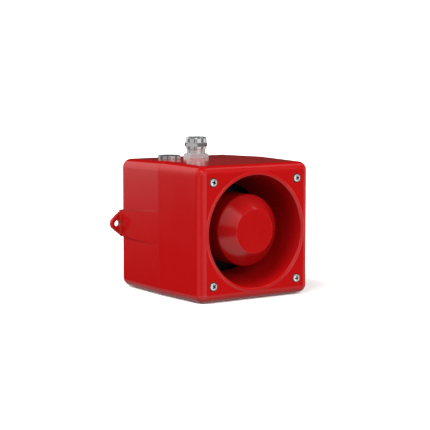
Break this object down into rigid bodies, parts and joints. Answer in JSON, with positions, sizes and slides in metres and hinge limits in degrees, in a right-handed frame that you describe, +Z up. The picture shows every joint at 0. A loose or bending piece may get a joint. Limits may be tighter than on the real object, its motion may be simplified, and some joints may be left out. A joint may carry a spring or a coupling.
{
  "type": "alarm siren",
  "caption": "Square cast-housing alarm siren with a folded round horn, side wall lugs, a top cable gland and a blanked second entry.",
  "frame": {"origin": "centre of the flat back face that stands on the wall", "axes": "+Z up, +Y into the wall, so the horn faces -Y; +X is the right-hand side seen from the front"},
  "size_m": [0.1552, 0.1474, 0.1543],
  "materials": {
    "red_casting": "gloss powder coat",
    "red_bullet": "semi-gloss powder coat",
    "seal_rubber": "matte",
    "stainless": "bright",
    "zinc_steel": "zinc plated",
    "black_moulding": "matte moulded",
    "ferrite": "matte ground",
    "treated_film": "resin treated",
    "diaphragm_metal": "satin",
    "copper_wire": "enamelled",
    "red_wire": "smooth sleeve",
    "white_moulding": "smooth",
    "board_laminate": "solder mask",
    "terminal_green": "smooth",
    "switch_red": "smooth",
    "trimmer_blue": "smooth",
    "can_sleeve": "shrink sleeve",
    "core_steel": "matte",
    "black_epoxy": "moulded",
    "earth_brass": "bright",
    "nickel": "bright nickel plate"
  },
  "bodies": {
    "rear": {"rear_housing": "red_casting", "housing_gasket": "seal_rubber", "circuit_board": "board_laminate", "board_screws": "zinc_steel", "terminal_block": "terminal_green", "terminal_screws": "stainless", "board_header": "white_moulding", "tone_switch": "switch_red", "volume_trimmer": "trimmer_blue", "capacitors": "can_sleeve", "transformer_core": "core_steel", "transformer_coil": "copper_wire", "circuit_chips": "black_epoxy", "output_transistors": "black_epoxy", "earth_screw": "earth_brass", "gland_body": "nickel", "gland_oring": "seal_rubber", "blanking_plug": "nickel", "plug_oring": "seal_rubber"},
    "front": {"front_housing": "red_casting", "front_screws": "stainless", "screw_seals": "seal_rubber", "horn_bullet": "red_bullet", "horn_core": "black_moulding", "bullet_screws": "zinc_steel", "core_screws": "zinc_steel", "driver_gasket": "seal_rubber", "diaphragm_ring": "black_moulding", "surround": "treated_film", "top_plate": "zinc_steel", "magnet": "ferrite", "back_plate": "zinc_steel", "driver_screws": "zinc_steel", "driver_lead": "red_wire", "driver_plug": "white_moulding"},
    "cone": {"diaphragm": "diaphragm_metal", "voice_coil": "copper_wire"},
    "gland_clamp": {"gland_seal": "seal_rubber", "gland_washer": "white_moulding"},
    "gland_cap": {"gland_nut": "nickel"},
    "volume_rotor": {"volume_rotor": "white_moulding"},
    "tone_1": {"tone_slider_1": "white_moulding"},
    "tone_2": {"tone_slider_2": "white_moulding"},
    "tone_3": {"tone_slider_3": "white_moulding"},
    "tone_4": {"tone_slider_4": "white_moulding"},
    "tone_5": {"tone_slider_5": "white_moulding"}
  },
  "joints": [
    {"name": "front_release", "type": "slide", "parent": "rear", "child": "front", "axis": [0, -1, 0], "range_m": [0, 0.14]},
    {"name": "diaphragm_stroke", "type": "slide", "parent": "front", "child": "cone", "axis": [0, -1, 0], "range_m": [-0.0004, 0.0004], "stiffness_N_per_m": 1500},
    {"name": "gland_nut_turn", "type": "hinge", "parent": "gland_clamp", "child": "gland_cap", "pos_m": [-0.007, -0.053, 0.08], "axis": [0, 0, 1], "range_deg": [-720, 720]},
    {"name": "gland_clamp_slide", "type": "slide", "parent": "rear", "child": "gland_clamp", "axis": [0, 0, 1], "range_m": [-0.003, 0.003]},
    {"name": "volume_turn", "type": "hinge", "parent": "rear", "child": "volume_rotor", "pos_m": [0.004, -0.0206, -0.04], "axis": [0, -1, 0], "range_deg": [-135, 135]},
    {"name": "tone_switch_1", "type": "slide", "parent": "rear", "child": "tone_1", "axis": [0, 0, 1], "range_m": [0, 0.002]},
    {"name": "tone_switch_2", "type": "slide", "parent": "rear", "child": "tone_2", "axis": [0, 0, 1], "range_m": [0, 0.002]},
    {"name": "tone_switch_3", "type": "slide", "parent": "rear", "child": "tone_3", "axis": [0, 0, 1], "range_m": [0, 0.002]},
    {"name": "tone_switch_4", "type": "slide", "parent": "rear", "child": "tone_4", "axis": [0, 0, 1], "range_m": [0, 0.002]},
    {"name": "tone_switch_5", "type": "slide", "parent": "rear", "child": "tone_5", "axis": [0, 0, 1], "range_m": [0, 0.002]}
  ],
  "couplings": [
    {"joint": "gland_nut_turn", "follows": "gland_clamp_slide", "rad_per_m": 4188.8}
  ]
}
